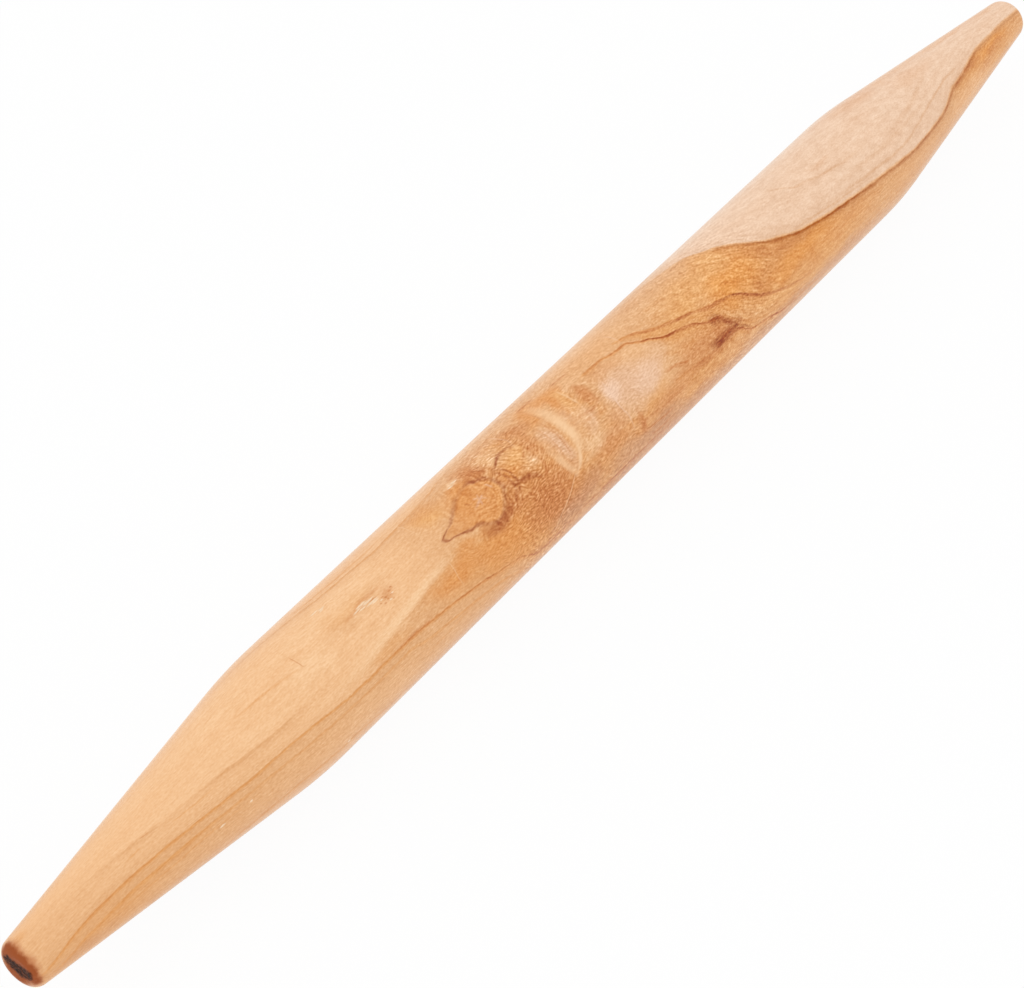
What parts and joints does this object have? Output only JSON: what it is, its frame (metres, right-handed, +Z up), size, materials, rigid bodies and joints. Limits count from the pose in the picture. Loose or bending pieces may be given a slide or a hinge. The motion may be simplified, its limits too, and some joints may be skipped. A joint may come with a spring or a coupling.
{
  "type": "french rolling pin",
  "caption": "Solid turned hardwood rolling pin with a straight barrel and long tapered tips, rolled under the palms to flatten dough.",
  "frame": {"origin": "middle of the pin, on its turning axis", "axes": "+X along the pin, from the tip with the scorched end grain towards the other tip; +Z up when the pin lies on a worktop; the pin rolls about X"},
  "size_m": [0.5, 0.038, 0.038],
  "materials": {
    "turned_wood": "oiled satin"
  },
  "bodies": {
    "root": {"rolling_pin": "turned_wood"}
  },
  "joints": []
}
